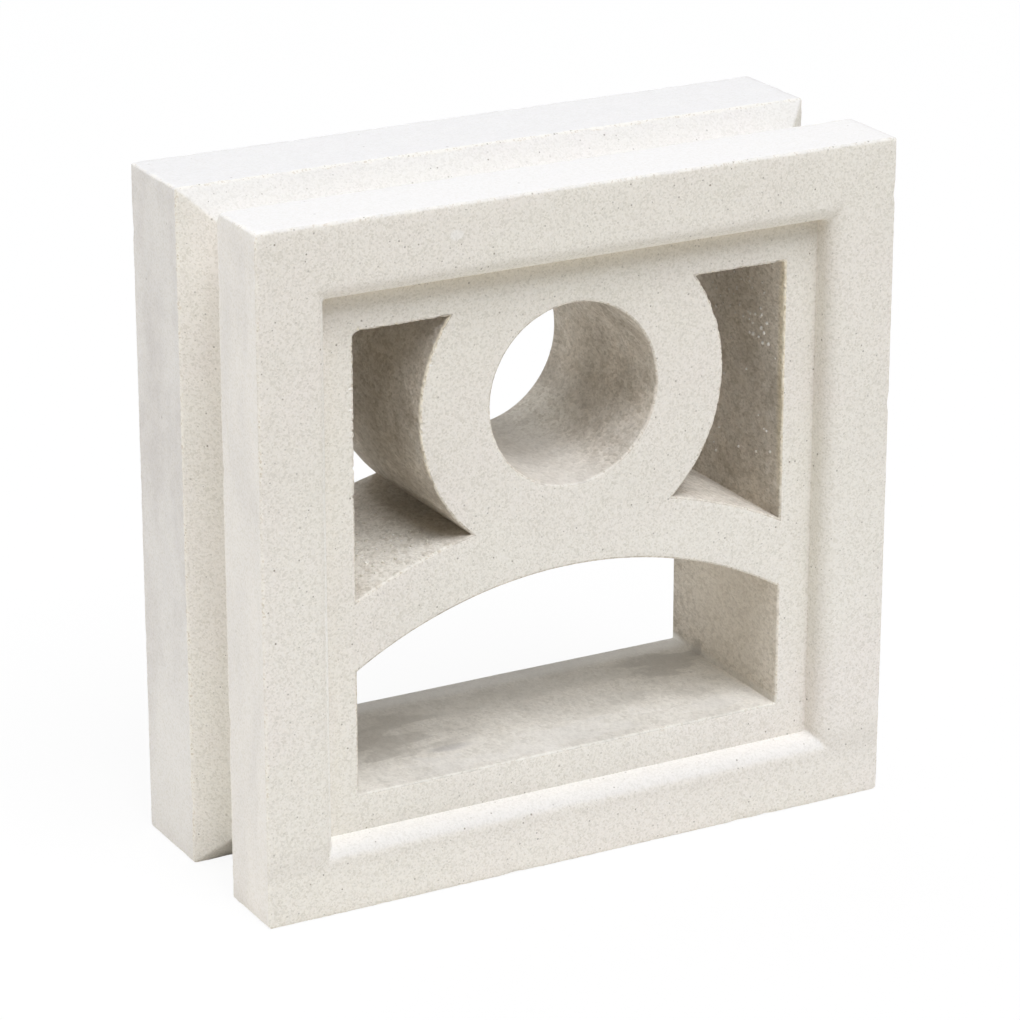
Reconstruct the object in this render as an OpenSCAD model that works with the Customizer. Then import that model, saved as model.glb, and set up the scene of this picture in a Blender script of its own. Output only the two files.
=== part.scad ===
// Decorative ventilation block, cast in one piece: a ring standing on a low arch,
// pierced through a field that lies sunk inside a raised square frame.
// A mortar groove with sloping walls runs round all four sides.
// Millimetres, +Z up, the face towards -Y, origin under the middle of the bottom.

/* [Block] */
// Width of the face
block_w = 200; // [180:1:220]
// Height of the face
block_h = 200; // [180:1:220]
// Thickness from the front face to the back face
block_t = 80; // [72:1:100]
// Radius of the moulded outer edges
edge_r = 1.2; // [0.4:0.1:2.5]

/* [Mortar groove] */
// Thickness of the flange in front of the groove
front_flange_t = 24; // [18:0.5:30]
// Width of the groove at its mouth
groove_w = 26; // [18:0.5:32]
// Width of the flat floor of the groove
groove_floor_w = 10; // [6:0.5:14]
// Depth of the groove below the flanges
groove_depth = 9; // [5:0.5:12]

/* [Raised frame] */
// Width of the frame down both sides, from the outer face to the sunk field
frame_side_w = 21.5; // [16:0.5:26]
// Width of the frame along the top
frame_top_w = 22.5; // [16:0.5:28]
// Width of the frame along the bottom
frame_bottom_w = 20.5; // [16:0.5:26]
// Depth of the sunk field on the front
front_recess = 7.5; // [4:0.5:14]
// Depth of the sunk field on the back
back_recess = 13.5; // [4:0.5:16]
// Sideways slope of the wall between the sunk field and the frame's face
recess_slope = 0.8; // [0.2:0.1:4]
// Radius of the rounded inner lip of the frame
lip_r = 5; // [1:0.1:6]

/* [Openings] */
// Solid margin from each side face to the openings
side_margin = 32; // [28:0.5:38]
// Solid margin from the top face to the openings
top_margin = 34; // [30:0.5:40]
// Solid margin from the bottom face to the openings
bottom_margin = 31.5; // [28:0.5:38]

/* [Arch] */
// Height of the arch's underside where it meets the sides
arch_spring_h = 68; // [56:0.5:76]
// Rise of the arch's underside from the sides to its crown
arch_rise = 19; // [12:0.5:28]
// Width of the arch band
arch_band = 18.5; // [12:0.5:24]

/* [Ring] */
// Diameter of the round hole
ring_hole_d = 52.5; // [40:0.5:60]
// Width of the ring band
ring_band = 22; // [16:0.5:28]
// Solid left between the top of the arch band and the round hole
ring_seat = 6; // [3:0.5:12]

/* [Hidden] */
$fn = 96;
// Flat steps that stand for a small rounded edge and for the larger lip
edge_steps = 4;
lip_steps = 10;
// Largest share of a recess wall that its rounded lip may take up
lip_share = 0.8;
// Overrun of a cutter past the faces that it opens
overrun = 5;
front_y = -block_t / 2;
back_y = block_t / 2;
groove_front_y = front_y + front_flange_t;
groove_back_y = groove_front_y + groove_w;
groove_mid_y = groove_front_y + groove_w / 2;
field_w = block_w - 2 * frame_side_w;
field_h = block_h - frame_bottom_w - frame_top_w;
field_mid_z = frame_bottom_w + field_h / 2;
window_w = block_w - 2 * side_margin;
window_h = block_h - top_margin - bottom_margin;
// Both edges of the arch band are struck from one centre
arch_inner_r = (pow(window_w / 2, 2) + pow(arch_rise, 2)) / (2 * arch_rise);
arch_outer_r = arch_inner_r + arch_band;
arch_centre_z = arch_spring_h + arch_rise - arch_inner_r;
ring_outer_r = ring_hole_d / 2 + ring_band;
ring_z = arch_centre_z + arch_outer_r + ring_seat + ring_hole_d / 2;

function unit(v) = v / norm(v);

// Arc that rounds one corner of an outline
function fillet(before, corner, after, r, steps) =
    let (
        u = unit(before - corner),
        v = unit(after - corner),
        half_angle = acos(u * v) / 2,
        centre = corner + unit(u + v) * r / sin(half_angle),
        first = corner + u * r / tan(half_angle) - centre,
        last = corner + v * r / tan(half_angle) - centre,
        start = atan2(first.y, first.x),
        turn = atan2(first.x * last.y - first.y * last.x, first * last)
    )
    [for (i = [0 : steps])
        centre + r * [cos(start + turn * i / steps), sin(start + turn * i / steps)]];

// Outline from [x, y, radius] corners, where a radius of 0 keeps a corner sharp
function rounded(corners) =
    let (n = len(corners), p = [for (c = corners) [c.x, c.y]])
    [for (i = [0 : n - 1])
        each corners[i].z > 0
            ? fillet(p[(i + n - 1) % n], p[i], p[(i + 1) % n], corners[i].z, edge_steps)
            : [p[i]]];

// Half of an outline joined to its mirror image below the first axis
function both_halves(half) =
    concat(half, [for (i = [len(half) - 1 : -1 : 0]) [half[i].x, -half[i].y, half[i].z]]);

// Section through the thickness: two flanges with the groove between them
function flange_section(half_size) =
    rounded(both_halves([
        [front_y, half_size, edge_r],
        [groove_front_y, half_size, edge_r],
        [groove_mid_y - groove_floor_w / 2, half_size - groove_depth, 0],
        [groove_mid_y + groove_floor_w / 2, half_size - groove_depth, 0],
        [groove_back_y, half_size, edge_r],
        [back_y, half_size, edge_r]
    ]));

// Section of a recess, measured inwards from the face that it opens
function recess_section(half_field, depth) =
    let (
        lip = [0, half_field + recess_slope],
        foot = [depth, half_field],
        lip_arc = fillet(lip + [0, 1], lip, foot, min(lip_r, lip_share * depth), lip_steps),
        half = concat([[-overrun, lip_arc[0].y]], lip_arc, [foot])
    )
    concat(half, [for (i = [len(half) - 1 : -1 : 0]) [half[i].x, -half[i].y]]);

// Solid whose plan and side view follow two sections, so its corners are mitred
module crossed(plan_section, side_section, reach) {
    intersection() {
        rotate([0, 0, 90])
            linear_extrude(height = 2 * reach, center = true)
                polygon(plan_section);
        rotate([90, 0, 90])
            linear_extrude(height = 2 * reach, center = true)
                polygon(side_section);
    }
}

// A flat shape drawn on the face, run through the thickness
module through() {
    rotate([90, 0, 0])
        linear_extrude(height = block_t + 2 * overrun, center = true)
            children();
}

// Outer block with its groove and rounded edges
module grooved_block() {
    half_w = block_w / 2;
    half_h = block_h / 2;
    translate([0, 0, half_h])
        intersection() {
            crossed(flange_section(half_w), flange_section(half_h), max(block_w, block_h));
            through()
                polygon(rounded([
                    [-half_w, -half_h, edge_r],
                    [half_w, -half_h, edge_r],
                    [half_w, half_h, edge_r],
                    [-half_w, half_h, edge_r]
                ]));
        }
}

// Space above a sunk field, whose walls have a rounded lip and meet in mitres
module recess(depth) {
    crossed(
        recess_section(field_w / 2, depth),
        recess_section(field_h / 2, depth),
        max(block_w, block_h)
    );
}

module both_recesses() {
    translate([0, front_y, field_mid_z])
        recess(front_recess);
    translate([0, back_y, field_mid_z])
        rotate([0, 0, 180])
            recess(back_recess);
}

// Square area that the openings share
module window() {
    translate([-window_w / 2, bottom_margin])
        square([window_w, window_h]);
}

module arch_disc(radius) {
    translate([0, arch_centre_z])
        circle(radius);
}

module ring_disc(radius) {
    translate([0, ring_z])
        circle(radius);
}

module lower_opening() {
    intersection() {
        window();
        arch_disc(arch_inner_r);
    }
}

// The two openings beside the ring
module upper_openings() {
    difference() {
        window();
        arch_disc(arch_outer_r);
        ring_disc(ring_outer_r);
    }
}

module vent_block() {
    color([0.87, 0.85, 0.81])
        difference() {
            grooved_block();
            both_recesses();
            through()
                lower_opening();
            through()
                upper_openings();
            through()
                ring_disc(ring_hole_d / 2);
        }
}

vent_block();
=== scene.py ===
# %% [markdown]
# This lesson dresses a cast concrete screen block. The real block is one piece:
# a raised square frame, a sunk field, and a ring that stands on a low arch.
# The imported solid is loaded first, because it fixes the size and the place of
# everything that follows. Its box is kept to compare with the finished block.

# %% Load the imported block
import math
import random
from collections import namedtuple

import bmesh
import bpy
import numpy as np
from mathutils import Matrix, Vector, geometry, noise
from mathutils.bvhtree import BVHTree


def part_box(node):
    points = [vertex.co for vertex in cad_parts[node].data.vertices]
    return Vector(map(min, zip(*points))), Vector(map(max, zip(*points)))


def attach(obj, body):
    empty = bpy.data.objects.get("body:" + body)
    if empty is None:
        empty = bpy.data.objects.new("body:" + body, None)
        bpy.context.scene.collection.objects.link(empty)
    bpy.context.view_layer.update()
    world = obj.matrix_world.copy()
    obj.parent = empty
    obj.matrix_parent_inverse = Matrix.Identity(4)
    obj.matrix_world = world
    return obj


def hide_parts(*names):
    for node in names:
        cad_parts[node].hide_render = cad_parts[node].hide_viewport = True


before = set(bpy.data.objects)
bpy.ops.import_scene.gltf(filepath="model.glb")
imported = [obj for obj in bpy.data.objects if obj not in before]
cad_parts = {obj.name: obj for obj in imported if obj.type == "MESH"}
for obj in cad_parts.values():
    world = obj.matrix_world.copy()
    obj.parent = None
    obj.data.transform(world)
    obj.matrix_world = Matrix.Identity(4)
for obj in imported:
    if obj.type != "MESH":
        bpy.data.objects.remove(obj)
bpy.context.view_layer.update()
scene = bpy.context.scene
solid_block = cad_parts["vent_block"]

# %% [markdown]
# The block is seen from the left of its face and a little from above. A camera
# can be placed by hand or by a turn, a rise and a distance from a point to aim
# at. The second way is used, because each number then says one plain thing.

# %% Camera
VIEW_TURN = math.radians(28.753)
VIEW_RISE = math.radians(20.173)
# The distance and the aim are in metres, as the scene is
VIEW_DISTANCE = 1.2127
VIEW_AIM = Vector((-0.0025, 0.0, 0.0936))
LENS_MM = 149.6
SENSOR_MM = 36.0


def place_camera():
    """A camera that looks at the aim point from the left and from above."""
    level = math.cos(VIEW_RISE)
    ahead = Vector((math.sin(VIEW_TURN) * level, math.cos(VIEW_TURN) * level, -math.sin(VIEW_RISE)))
    lens = bpy.data.cameras.new("portrait_camera")
    lens.lens = LENS_MM
    lens.sensor_width = SENSOR_MM
    camera = bpy.data.objects.new("portrait_camera", lens)
    camera.location = VIEW_AIM - ahead * VIEW_DISTANCE
    camera.rotation_euler = ahead.to_track_quat("-Z", "Y").to_euler()
    scene.collection.objects.link(camera)
    scene.camera = camera
    return camera


camera = place_camera()
print("camera stands at", tuple(round(c, 3) for c in camera.location))

# %% [markdown]
# A casting has no perfectly sharp edges, and its faces are never quite true.
# The solid could be bevelled with a modifier, but then the wear could not know
# which edge it sits on. So the block is built again from its own measures, as
# one closed skin with fine rows of points wherever an edge is rounded or chipped.
# The outer size is read from the solid. The block's measures are given in
# millimetres, as on a maker's drawing.

# %% Measures of the block
MM = 0.001
block_low, block_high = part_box("vent_block")
BLOCK_W, BLOCK_T, BLOCK_H = [round(side / MM, 2) for side in block_high - block_low]
EDGE_R = 1.0
FRONT_FLANGE_T = 24.0
GROOVE_W = 26.0
GROOVE_FLOOR_W = 10.0
GROOVE_DEPTH = 9.0
GROOVE_CREASE_R = 1.0
FRAME_SIDE_W = 21.5
FRAME_TOP_W = 22.5
FRAME_BOTTOM_W = 20.5
FRONT_RECESS = 7.5
BACK_RECESS = 13.5
RECESS_SLOPE = 0.8
LIP_R = 5.0

FRONT_Y = -BLOCK_T / 2
BACK_Y = BLOCK_T / 2
FRONT_FIELD_Y = FRONT_Y + FRONT_RECESS
BACK_FIELD_Y = BACK_Y - BACK_RECESS
GROOVE_FRONT_Y = FRONT_Y + FRONT_FLANGE_T
GROOVE_BACK_Y = GROOVE_FRONT_Y + GROOVE_W
GROOVE_MID_Y = (GROOVE_FRONT_Y + GROOVE_BACK_Y) / 2
FIELD_DROP = (FRAME_TOP_W - FRAME_BOTTOM_W) / 2
print("lattice between the two fields is", BACK_FIELD_Y - FRONT_FIELD_Y, "mm thick")

# %% [markdown]
# The frame has the same section all the way round: up the recess wall, over its
# rounded lip, across the face, round the edge and through the mortar groove to
# the back. The section is drawn once as a list of corners, and each corner that
# is rounded on the casting is given a radius.

# %% Section of the frame
SAND = 0
MOULD = 1
PASSAGE = 2
LIP_STEPS = 9
EDGE_STEPS = 4
CREASE_STEPS = 2
SECTION_STEP = 2.6


def corner_arc(before, corner, after, radius, steps):
    """Points along the arc that rounds one corner of a section."""
    if radius == 0:
        return [corner]
    to_before = (before - corner).normalized()
    to_after = (after - corner).normalized()
    half_angle = to_before.angle(to_after) / 2
    centre = corner + (to_before + to_after).normalized() * radius / math.sin(half_angle)
    reach = radius / math.tan(half_angle)
    first = corner + to_before * reach - centre
    last = corner + to_after * reach - centre
    start = math.atan2(first.y, first.x)
    turn = math.atan2(first.x * last.y - first.y * last.x, first.dot(last))
    angles = [start + turn * i / steps for i in range(steps + 1)]
    return [centre + radius * Vector((math.cos(a), math.sin(a))) for a in angles]


def points_between(start, end, step):
    """Points strictly between two ends, closer together near both of them."""
    count = max(2, round((end - start).length / step))
    shares = [(1 - math.cos(math.pi * i / count)) / 2 for i in range(1, count)]
    return [start.lerp(end, share) for share in shares]


def frame_section():
    """Rows of (depth, inset) from the front field round to the back field, and strip finishes."""
    lip_inset = FRAME_SIDE_W - RECESS_SLOPE
    floor_front = GROOVE_MID_Y - GROOVE_FLOOR_W / 2
    floor_back = GROOVE_MID_Y + GROOVE_FLOOR_W / 2
    # Depth, inset, radius, steps of the arc, and finish of the strip that follows
    corners = [
        (FRONT_FIELD_Y, FRAME_SIDE_W, 0, 0, SAND),
        (FRONT_Y, lip_inset, LIP_R, LIP_STEPS, SAND),
        (FRONT_Y, 0, EDGE_R, EDGE_STEPS, MOULD),
        (GROOVE_FRONT_Y, 0, EDGE_R, EDGE_STEPS, SAND),
        (floor_front, GROOVE_DEPTH, GROOVE_CREASE_R, CREASE_STEPS, SAND),
        (floor_back, GROOVE_DEPTH, GROOVE_CREASE_R, CREASE_STEPS, SAND),
        (GROOVE_BACK_Y, 0, EDGE_R, EDGE_STEPS, MOULD),
        (BACK_Y, 0, EDGE_R, EDGE_STEPS, SAND),
        (BACK_Y, lip_inset, LIP_R, LIP_STEPS, SAND),
        (BACK_FIELD_Y, FRAME_SIDE_W, 0, 0, SAND),
    ]
    spots = [Vector(corner[:2]) for corner in corners]
    rows = [spots[0]]
    finishes = []
    for i in range(1, len(corners)):
        radius, steps = corners[i][2:4]
        strip_finish = corners[i - 1][4]
        after = spots[(i + 1) % len(spots)]
        bend = corner_arc(spots[i - 1], spots[i], after, radius, steps)
        run = points_between(rows[-1], bend[0], SECTION_STEP) + [bend[0]]
        rows += run + bend[1:]
        finishes += [strip_finish] * len(run) + [SAND] * (len(bend) - 1)
    return rows, finishes


section, section_finish = frame_section()
print("section has", len(section), "rows")

# %% [markdown]
# The section now runs round a square, and where two sides meet it turns in a
# mitre, as the mould does. Blender can bevel a curve along a path, but its
# corners pinch. Here each row gets its own square loop of points, so the mitre
# stays true and every loop has the same number of points.

# %% Sweep the section round the block
SIDE_STEPS = 120
CORNER_STEPS = 4
CORNER_R = 1.0


def loop_template():
    """Square loop: places on a square of half size 1, and the outward direction at each."""
    rows = []
    for quarter in range(4):
        turn = quarter * math.pi / 2
        out = Vector((math.sin(turn), -math.cos(turn)))
        along = Vector((math.cos(turn), math.sin(turn)))
        for i in range(SIDE_STEPS + 1):
            share = 2 * i / SIDE_STEPS - 1
            rows.append((*(out + along * share), *out))
        for i in range(1, CORNER_STEPS):
            bend = turn + math.pi / 2 * i / CORNER_STEPS
            rows.append((*(out + along), math.sin(bend), -math.cos(bend)))
    return np.array(rows)


def field_shift(depth, inset):
    """How far a row sinks, because the frame is wider along its top than its bottom."""
    if GROOVE_FRONT_Y <= depth <= GROOVE_BACK_Y:
        return 0.0
    lip_start = FRAME_SIDE_W - RECESS_SLOPE - LIP_R
    return FIELD_DROP * min(max(inset / lip_start, 0.0), 1.0)


def square_loop(template, depth, inset):
    """One row of the section as a loop of points round the block."""
    half_w = BLOCK_W / 2 - inset - CORNER_R
    half_h = BLOCK_H / 2 - inset - CORNER_R
    middle = BLOCK_H / 2 - field_shift(depth, inset)
    x = template[:, 0] * half_w + template[:, 2] * CORNER_R
    z = middle + template[:, 1] * half_h + template[:, 3] * CORNER_R
    return np.stack([x, np.full_like(x, depth), z], axis=1)


template = loop_template()
frame_loops = [square_loop(template, *row) for row in section]
print("frame sweep:", len(frame_loops), "loops of", len(template), "points")

# %% [markdown]
# Four openings pierce the field. Their outlines are lines and arcs: both edges
# of the arch are struck from one centre, and the ring runs into the top bar and
# sits in the arch. The outlines are worked out from those few centres and radii,
# as the mould maker would set them out with a compass.

# %% Outlines of the openings
SIDE_MARGIN = 32.0
TOP_MARGIN = 34.0
BOTTOM_MARGIN = 31.5
ARCH_SPRING_H = 68.0
ARCH_RISE = 19.0
ARCH_BAND = 18.5
RING_HOLE_D = 52.5
RING_BAND = 22.0
RING_SEAT = 6.0
OUTLINE_STEP = 0.5
LEFT_CORNER_R = 1.8
RIGHT_CORNER_R = 0.4
WINDOW_CORNER_STEPS = 6

WINDOW_X = BLOCK_W / 2 - SIDE_MARGIN
WINDOW_LOW = BOTTOM_MARGIN
WINDOW_TOP = BLOCK_H - TOP_MARGIN
ARCH_INNER_R = (WINDOW_X ** 2 + ARCH_RISE ** 2) / (2 * ARCH_RISE)
ARCH_OUTER_R = ARCH_INNER_R + ARCH_BAND
ARCH_Z = ARCH_SPRING_H + ARCH_RISE - ARCH_INNER_R
RING_INNER_R = RING_HOLE_D / 2
RING_OUTER_R = RING_INNER_R + RING_BAND
RING_Z = ARCH_Z + ARCH_OUTER_R + RING_SEAT + RING_INNER_R


def line(start, end):
    """Points along a straight edge, without its end."""
    count = max(1, round(math.dist(start, end) / OUTLINE_STEP))
    shares = np.arange(count)[:, None] / count
    return np.array(start) * (1 - shares) + np.array(end) * shares


def arc(centre_z, radius, start, end):
    """Points along an arc about the middle line, without its end."""
    a = math.atan2(start[1] - centre_z, start[0])
    b = math.atan2(end[1] - centre_z, end[0])
    turn = (b - a + math.pi) % (2 * math.pi) - math.pi
    count = max(2, round(abs(turn) * radius / OUTLINE_STEP))
    angles = a + turn * np.arange(count) / count
    return np.stack([radius * np.cos(angles), centre_z + radius * np.sin(angles)], axis=1)


def lower_outline():
    """Opening under the arch."""
    low_left, low_right = (-WINDOW_X, WINDOW_LOW), (WINDOW_X, WINDOW_LOW)
    spring_left, spring_right = (-WINDOW_X, ARCH_SPRING_H), (WINDOW_X, ARCH_SPRING_H)
    return np.concatenate([
        line(low_left, low_right),
        line(low_right, spring_right),
        arc(ARCH_Z, ARCH_INNER_R, spring_right, spring_left),
        line(spring_left, low_left),
    ])


def upper_outline(corner_r):
    """Opening to the right of the ring, with its top corner rounded."""
    apart = RING_Z - ARCH_Z
    rise = (ARCH_OUTER_R ** 2 - RING_OUTER_R ** 2 + apart ** 2) / (2 * apart)
    meet = (math.sqrt(ARCH_OUTER_R ** 2 - rise ** 2), ARCH_Z + rise)
    side_low = (WINDOW_X, ARCH_Z + math.sqrt(ARCH_OUTER_R ** 2 - WINDOW_X ** 2))
    side_top = (WINDOW_X, WINDOW_TOP)
    ring_top = (math.sqrt(RING_OUTER_R ** 2 - (WINDOW_TOP - RING_Z) ** 2), WINDOW_TOP)
    path = [Vector(side_low), Vector(side_top), Vector(ring_top)]
    bend = corner_arc(*path, corner_r, WINDOW_CORNER_STEPS)
    return np.concatenate([
        line(side_low, bend[0]),
        np.array(bend[:-1]),
        line(bend[-1], ring_top),
        arc(RING_Z, RING_OUTER_R, ring_top, meet),
        arc(ARCH_Z, ARCH_OUTER_R, meet, side_low),
    ])


def hole_outline():
    """Round hole through the ring."""
    count = round(2 * math.pi * RING_INNER_R / OUTLINE_STEP)
    angles = 2 * math.pi * np.arange(count) / count
    return RING_INNER_R * np.stack([np.cos(angles), np.sin(angles)], axis=1) + [0.0, RING_Z]


right_outline = upper_outline(RIGHT_CORNER_R)
left_outline = (upper_outline(LEFT_CORNER_R) * [-1.0, 1.0])[::-1]
outlines = [lower_outline(), right_outline, left_outline, hole_outline()]
print("outlines have", [len(o) for o in outlines], "points; ring centre at", round(RING_Z, 2))

# %% [markdown]
# Each opening is a passage with a small worn edge at the front and at the back.
# Its wall is the outline repeated at many depths, and at the two edges the
# outline is pushed a little into the concrete along its own normals.

# %% Walls of the openings
PASSAGE_EDGE_R = 0.7
PASSAGE_EDGE_STEPS = 4
WALL_STEP = 4.0


def pushed_out(outline, distance):
    """Outline moved into the concrete by a distance, with mitred corners."""
    ahead = np.roll(outline, -1, axis=0) - outline
    ahead /= np.linalg.norm(ahead, axis=1)[:, None]
    after = np.stack([ahead[:, 1], -ahead[:, 0]], axis=1)
    before = np.roll(after, 1, axis=0)
    spread = 1 + np.sum(after * before, axis=1)
    return outline + distance * (after + before) / spread[:, None]


def passage_section():
    """Rows of (depth, push) through the lattice, rounded at both ends."""
    into_concrete = Vector((0, 1))
    front = Vector((FRONT_FIELD_Y, 0))
    back = Vector((BACK_FIELD_Y, 0))
    front_arc = corner_arc(front + into_concrete, front, back, PASSAGE_EDGE_R, PASSAGE_EDGE_STEPS)
    back_arc = corner_arc(front, back, back + into_concrete, PASSAGE_EDGE_R, PASSAGE_EDGE_STEPS)
    return front_arc + points_between(front_arc[-1], back_arc[0], WALL_STEP) + back_arc


def passage_loops(outline, rows):
    """Every row of one opening's wall as a loop of points."""
    loops = []
    for depth, push in rows:
        flat = pushed_out(outline, push)
        loops.append(np.stack([flat[:, 0], np.full(len(flat), depth), flat[:, 1]], axis=1))
    return loops


passage_rows = passage_section()
passages = [passage_loops(outline, passage_rows) for outline in outlines]
print("opening walls have", [len(loops) for loops in passages], "loops")

# %% [markdown]
# What is left is the flat field between the frame and the openings, on the front
# and on the back. A constrained triangulation fills it: it keeps every edge of
# the loops, so the field joins the walls without a gap. A loose grid of points
# is added so that the field can be slightly uneven later.

# %% Flat fields
FIELD_GRID = 4.0
FIELD_CLEARANCE = 0.9
RIM_ROW = 1.2
# Settings of the triangulation
INSIDE_ONLY = 1
SAME_PLACE = 1e-6


def inside(loop, points):
    """True for each point that lies inside a closed outline."""
    x, z = points[:, 0][:, None], points[:, 1][:, None]
    ax, az = loop[:, 0], loop[:, 1]
    bx, bz = np.roll(ax, -1), np.roll(az, -1)
    crosses = (az > z) != (bz > z)
    reach = np.where(bz == az, 1.0, bz - az)
    left = x < ax + (bx - ax) * (z - az) / reach
    return np.sum(crosses & left, axis=1) % 2 == 1


def field_points(border, holes):
    """Loose points of the field: a grid, and a row close round each opening."""
    ticks = np.arange(-BLOCK_W / 2, BLOCK_W / 2, FIELD_GRID)
    grid = np.stack(np.meshgrid(ticks, ticks + BLOCK_H / 2), axis=-1).reshape(-1, 2)
    loose = np.concatenate([grid] + [pushed_out(hole, RIM_ROW)[::2] for hole in holes])
    keep = inside(border, loose)
    for hole in holes:
        keep &= ~inside(hole, loose)
    rims = np.concatenate([border] + holes)
    gaps = np.linalg.norm(loose[:, None, :] - rims[None, :, :], axis=2).min(axis=1)
    return loose[keep & (gaps > FIELD_CLEARANCE)]


def flat_field(border_loop, hole_loops):
    """Points and triangles between a border loop and the loops of the openings."""
    border = border_loop[:, [0, 2]]
    holes = [loop[:, [0, 2]] for loop in hole_loops]
    rings = [border] + holes
    edges = []
    start = 0
    for ring in rings:
        edges += [(start + i, start + (i + 1) % len(ring)) for i in range(len(ring))]
        start += len(ring)
    flat = np.concatenate(rings + [field_points(border, holes)])
    loose = [Vector(point) for point in flat]
    made, _, triangles, sources, _, _ = geometry.delaunay_2d_cdt(loose, edges, [], INSIDE_ONLY, SAME_PLACE)
    spots = np.array([flat[old[0]] if old else tuple(new) for new, old in zip(made, sources)])
    faces = np.array(triangles)
    centres = spots[faces].mean(axis=1)
    keep = inside(border, centres)
    for hole in holes:
        keep &= ~inside(hole, centres)
    depth = np.full(len(spots), border_loop[0, 1])
    return np.stack([spots[:, 0], depth, spots[:, 1]], axis=1), faces[keep]


front_field = flat_field(frame_loops[0], [loops[0] for loops in passages])
back_field = flat_field(frame_loops[-1], [loops[-1] for loops in passages])
print("fields have", len(front_field[1]), "and", len(back_field[1]), "triangles")

# %% [markdown]
# Loops, walls and fields are now joined into one skin. Points that share a place
# are welded, so the casting is one closed mesh, as the real block is one piece.
# Each face remembers its finish: sandy, smooth from the mould, or the wall of an
# opening.

# %% Join the skin
WELD_STEPS_PER_MM = 1e4


class Skin:
    """Points, faces and finishes, gathered part by part."""

    def __init__(self):
        self.points = []
        self.faces = []
        self.finishes = []
        self.count = 0

    def add(self, points, faces, finishes):
        """Points, faces that number them from 0, and a finish for each face."""
        self.points.append(points)
        self.faces += [tuple(int(i) + self.count for i in face) for face in faces]
        self.finishes += finishes
        self.count += len(points)

    def add_loops(self, loops, finishes):
        """Quads between each loop and the next one."""
        size = len(loops[0])
        faces = []
        for row in range(len(loops) - 1):
            low, high = row * size, (row + 1) * size
            for i in range(size):
                j = (i + 1) % size
                faces.append((low + i, low + j, high + j, high + i))
        strip = [finish for finish in finishes for _ in range(size)]
        self.add(np.concatenate(loops), faces, strip)


def welded(skin):
    """The skin with points that share a place made one."""
    points = np.concatenate(skin.points)
    keys = np.round(points * WELD_STEPS_PER_MM).astype(np.int64)
    _, first, number = np.unique(keys, axis=0, return_index=True, return_inverse=True)
    number = number.reshape(-1)
    faces = [tuple(int(number[i]) for i in face) for face in skin.faces]
    return points[first], faces


skin = Skin()
skin.add_loops(frame_loops, section_finish)
for loops in passages:
    skin.add_loops(loops, [PASSAGE] * (len(loops) - 1))
for points, triangles in (front_field, back_field):
    skin.add(points, triangles, [SAND] * len(triangles))
skin_points, skin_faces = welded(skin)
print("skin has", len(skin_points), "points and", len(skin_faces), "faces")

# %% [markdown]
# Blender takes the skin as lists of points and faces. All faces are then turned
# outwards. The real block has no gaps, so the skin may have no open edges, and
# that is counted and printed with the volume.

# %% Make the mesh
LITRES_PER_CUBIC_METRE = 1000


def skin_object(name, points, faces, finishes):
    """A mesh object from the welded skin, with all faces turned outwards."""
    mesh = bpy.data.meshes.new(name)
    mesh.from_pydata((points * MM).tolist(), [], faces)
    mesh.polygons.foreach_set("material_index", finishes)
    work = bmesh.new()
    work.from_mesh(mesh)
    bmesh.ops.recalc_face_normals(work, faces=work.faces)
    open_edges = sum(1 for edge in work.edges if len(edge.link_faces) != 2)
    work.to_mesh(mesh)
    litres = work.calc_volume() * LITRES_PER_CUBIC_METRE
    work.free()
    made = bpy.data.objects.new(name, mesh)
    scene.collection.objects.link(made)
    print("open edges:", open_edges, "volume in litres:", round(litres, 4))
    return made


block = skin_object("cast_block", skin_points, skin_faces, skin.finishes)

# %% [markdown]
# Edges are where a casting shows its age: they are rubbed, grainy and nicked.
# Every point is given a number from 0 to 1 that says how near it lies to an
# edge. A second number says how much the edge of an opening has crumbled, which
# is most beside the ring and less low down and at the back. Both steer the wear
# below, and the materials read them as attributes.

# %% Nearness to an edge
EDGE_REACH = 2.2
# In the order of the outlines: under the arch, right, left and the round hole
OPENING_ROUGHNESS = [0.5, 0.8, 1.0, 0.15]
BACK_ROUGHNESS = 0.3
SOFT_EDGES_BELOW = 98.0
ROUGH_EDGES_ABOVE = 125.0
SOFT_ROUGHNESS = 0.15
BATCH = 4000


def near(distance, reach):
    """1 on an edge, fading to 0 at a distance."""
    return np.clip(1 - distance / reach, 0, 1)


def frame_edges(points):
    """Nearness to the outer edges of both flanges."""
    from_side = BLOCK_W / 2 - np.abs(points[:, 0])
    from_end = BLOCK_H / 2 - np.abs(points[:, 2] - BLOCK_H / 2)
    inset = np.minimum(from_side, from_end)
    found = near(np.hypot(from_side, from_end), EDGE_REACH)
    for depth in (FRONT_Y, GROOVE_FRONT_Y, GROOVE_BACK_Y, BACK_Y):
        found = np.maximum(found, near(np.hypot(points[:, 1] - depth, inset), EDGE_REACH))
    return found


def outline_distance(points, outline):
    """Distance in the plane of the face to the nearest point of an outline."""
    flat = points[:, [0, 2]]
    found = np.empty(len(points))
    for start in range(0, len(points), BATCH):
        part = flat[start:start + BATCH]
        found[start:start + BATCH] = np.linalg.norm(part[:, None] - outline[None], axis=2).min(axis=1)
    return found


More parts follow.
